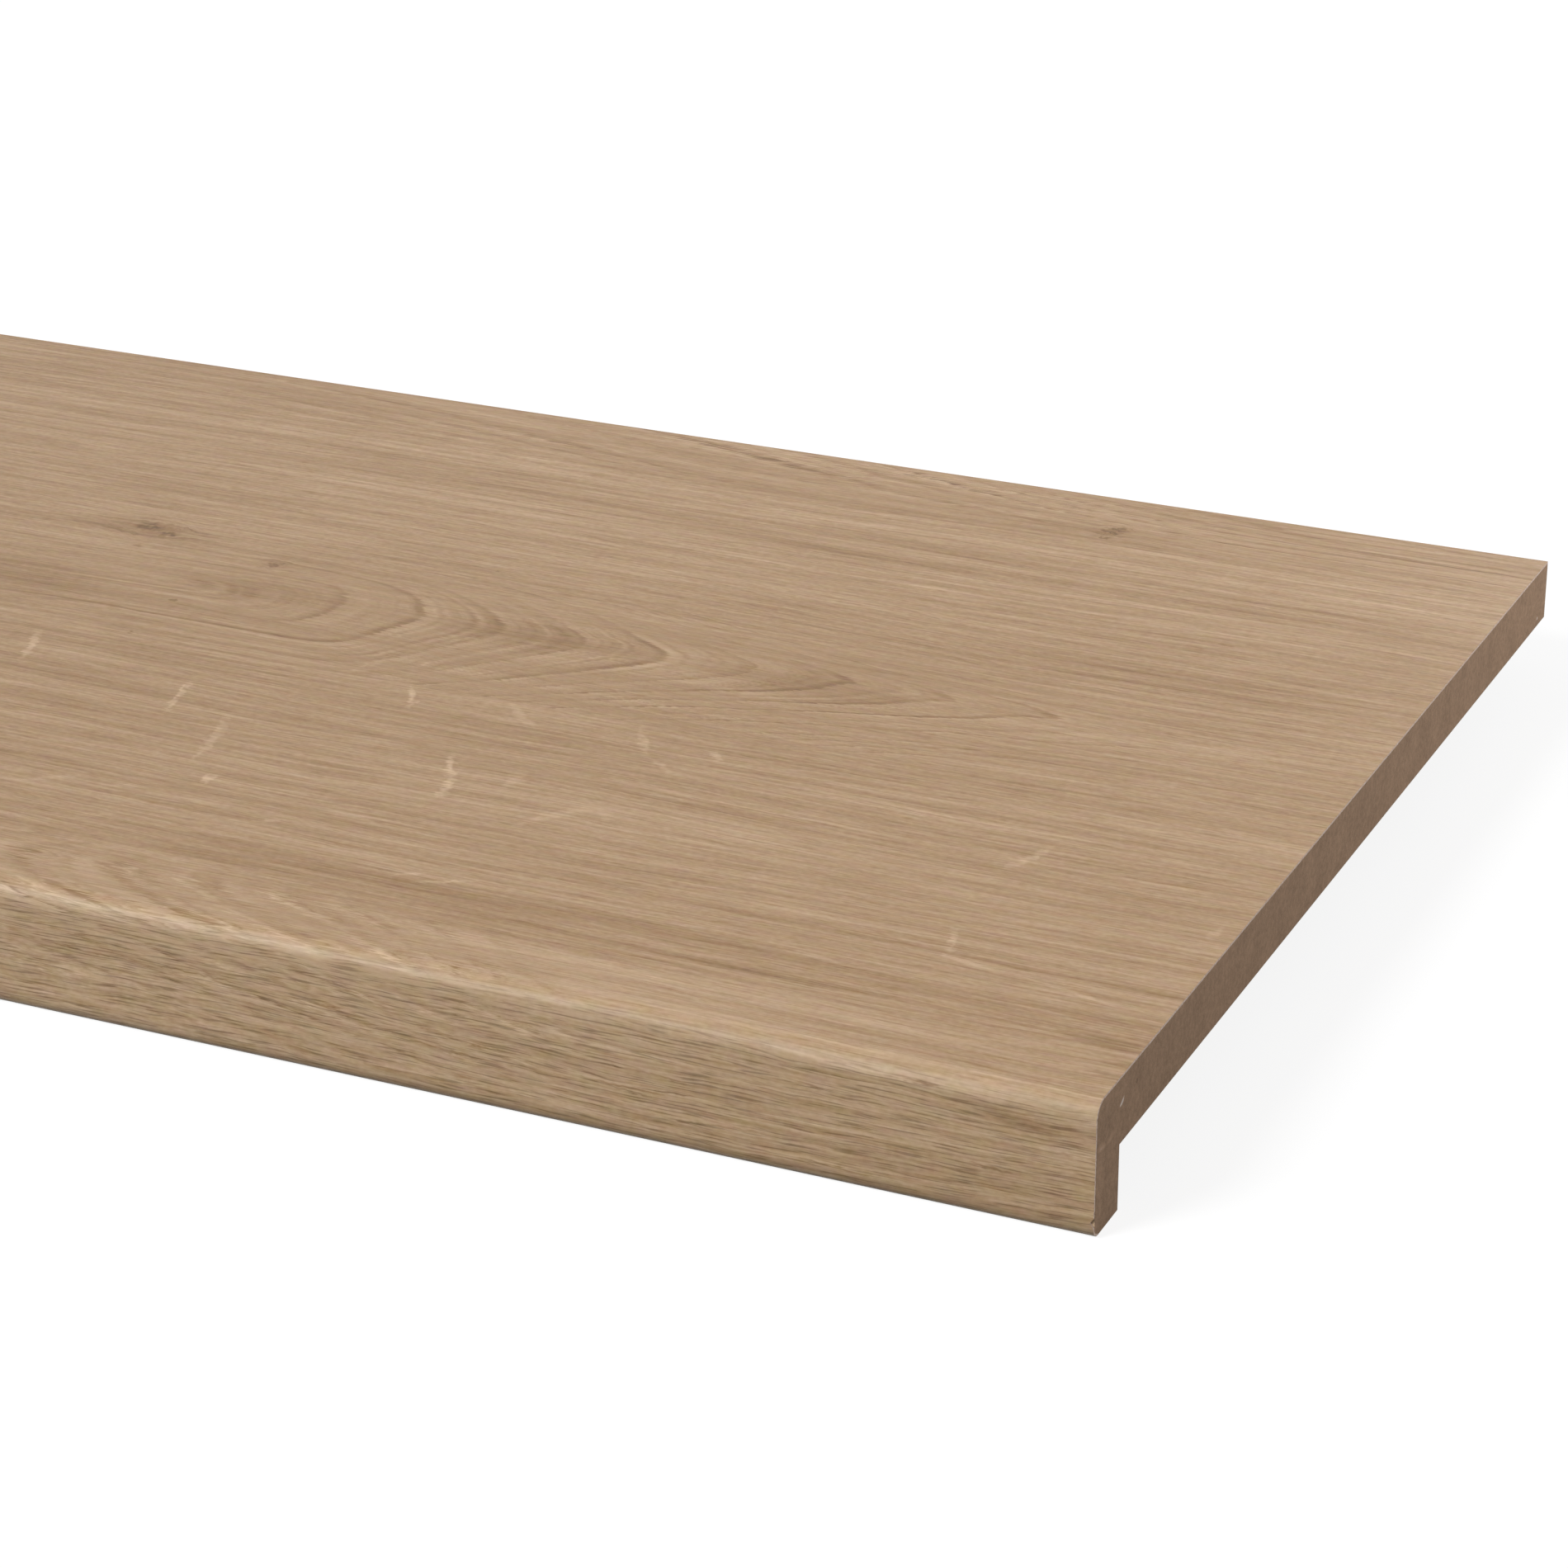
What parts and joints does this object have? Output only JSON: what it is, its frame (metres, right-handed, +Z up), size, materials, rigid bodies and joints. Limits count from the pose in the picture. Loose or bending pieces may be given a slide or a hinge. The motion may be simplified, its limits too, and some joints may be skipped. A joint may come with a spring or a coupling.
{
  "type": "window sill board",
  "caption": "Long flat window sill board in oak-print laminate over fibreboard, with a rounded front edge and a dropped nose that hooks over the wall.",
  "frame": {"origin": "under the middle of the board, level with the foot of the nose", "axes": "+X along the board to its right-hand end, +Y from the nose to the rear edge, +Z up"},
  "size_m": [2.02, 0.4, 0.0366],
  "materials": {
    "mdf": "raw medium-density fibreboard, sawn ends and sanded faces",
    "oak_laminate": "matt light oak print on postforming laminate, with fine embossed pores"
  },
  "bodies": {
    "root": {"mdf_panel": "mdf", "nose_strip": "mdf", "decor_laminate": "oak_laminate"}
  },
  "joints": []
}
